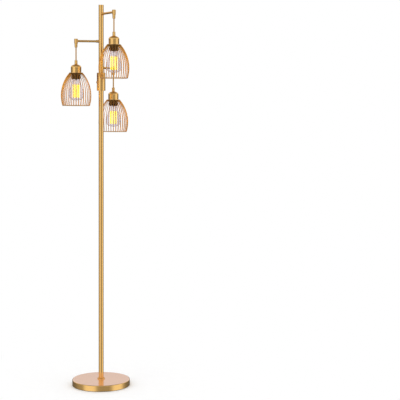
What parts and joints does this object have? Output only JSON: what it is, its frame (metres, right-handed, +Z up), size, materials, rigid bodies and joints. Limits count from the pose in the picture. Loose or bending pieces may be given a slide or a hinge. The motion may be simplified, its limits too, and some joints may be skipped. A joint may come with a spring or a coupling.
{
  "type": "floor lamp",
  "caption": "Floor lamp with a round weighted base, a straight pole, staggered short arms and hanging bell-shaped open wire cages round clear filament bulbs.",
  "frame": {"origin": "centre of the base's underside, on the pole's axis", "axes": "+Z up along the pole; -Y towards the viewer; the middle arm points along -X"},
  "size_m": [0.3005, 0.318, 1.665],
  "materials": {
    "satin_brass": "satin plated",
    "base_brass": "satin plated, fine circular grain",
    "cage_brass": "satin plated wire",
    "cord_textile": "matte woven cover",
    "socket_black": "moulded, matte",
    "contact_brass": "plain",
    "clear_glass": "clear, polished",
    "cap_metal": "rolled thread",
    "filament": "lit yellow filaments on a glass stem",
    "black_plastic": "moulded, matte",
    "splice_plastic": "moulded",
    "lead_jacket": "smooth jacket",
    "cast_iron": "rough cast",
    "pad_foam": "closed foam",
    "zinc_steel": "zinc plated"
  },
  "bodies": {
    "root": {"pole_section_lower": "satin_brass", "pole_section_middle": "satin_brass", "pole_section_upper": "satin_brass", "pole_foot_collar": "satin_brass", "arm_column": "satin_brass", "pole_top_plug": "satin_brass", "switch_housing": "satin_brass", "arm_collars": "satin_brass", "arm_tubes": "satin_brass", "arm_end_fittings": "satin_brass", "arm_cord_clamps": "satin_brass", "base_cover": "base_brass", "base_weight": "cast_iron", "base_floor_pad": "pad_foam", "base_lock_nut": "zinc_steel", "base_threaded_tube": "zinc_steel", "base_cord_bushing": "black_plastic", "pole_couplers": "zinc_steel", "housing_end_plates": "zinc_steel", "switch_body": "black_plastic", "switch_bracket": "zinc_steel", "wire_splice_caps": "splice_plastic", "pole_lead": "lead_jacket", "arm_leads": "lead_jacket"},
    "switch_button": {"switch_button": "satin_brass"},
    "upper_cord": {"upper_cord": "cord_textile"},
    "upper_pendant": {"upper_cord_grip": "satin_brass", "upper_socket_cup": "satin_brass", "upper_socket_body": "socket_black", "upper_socket_contacts": "contact_brass", "upper_shade_ring_nut": "socket_black", "upper_cage_rings": "cage_brass", "upper_cage_wires": "cage_brass", "upper_bulb_glass": "clear_glass", "upper_bulb_cap": "cap_metal", "upper_bulb_filaments": "filament"},
    "middle_cord": {"middle_cord": "cord_textile"},
    "middle_pendant": {"middle_cord_grip": "satin_brass", "middle_socket_cup": "satin_brass", "middle_socket_body": "socket_black", "middle_socket_contacts": "contact_brass", "middle_shade_ring_nut": "socket_black", "middle_cage_rings": "cage_brass", "middle_cage_wires": "cage_brass", "middle_bulb_glass": "clear_glass", "middle_bulb_cap": "cap_metal", "middle_bulb_filaments": "filament"},
    "lower_cord": {"lower_cord": "cord_textile"},
    "lower_pendant": {"lower_cord_grip": "satin_brass", "lower_socket_cup": "satin_brass", "lower_socket_body": "socket_black", "lower_socket_contacts": "contact_brass", "lower_shade_ring_nut": "socket_black", "lower_cage_rings": "cage_brass", "lower_cage_wires": "cage_brass", "lower_bulb_glass": "clear_glass", "lower_bulb_cap": "cap_metal", "lower_bulb_filaments": "filament"}
  },
  "joints": [
    {"name": "button_press", "type": "slide", "parent": "root", "child": "switch_button", "axis": [1, 0, 0], "range_m": [0, 0.002], "stiffness_N_per_m": 300},
    {"name": "upper_swing", "type": "hinge", "parent": "root", "child": "upper_cord", "pos_m": [0.054, -0.09353, 1.6016], "axis": [-0.866, -0.5, 0], "range_deg": [-5, 20]},
    {"name": "upper_sway", "type": "hinge", "parent": "upper_cord", "child": "upper_pendant", "pos_m": [0.054, -0.09353, 1.541], "axis": [0.5, -0.866, 0], "range_deg": [-12, 12]},
    {"name": "middle_swing", "type": "hinge", "parent": "root", "child": "middle_cord", "pos_m": [-0.108, 0, 1.4846], "axis": [0, 1, 0], "range_deg": [-5, 20]},
    {"name": "middle_sway", "type": "hinge", "parent": "middle_cord", "child": "middle_pendant", "pos_m": [-0.108, 0, 1.424], "axis": [-1, 0, 0], "range_deg": [-12, 12]},
    {"name": "lower_swing", "type": "hinge", "parent": "root", "child": "lower_cord", "pos_m": [0.054, 0.09353, 1.372], "axis": [0.866, -0.5, 0], "range_deg": [-5, 20]},
    {"name": "lower_sway", "type": "hinge", "parent": "lower_cord", "child": "lower_pendant", "pos_m": [0.054, 0.09353, 1.3114], "axis": [0.5, 0.866, 0], "range_deg": [-12, 12]}
  ]
}
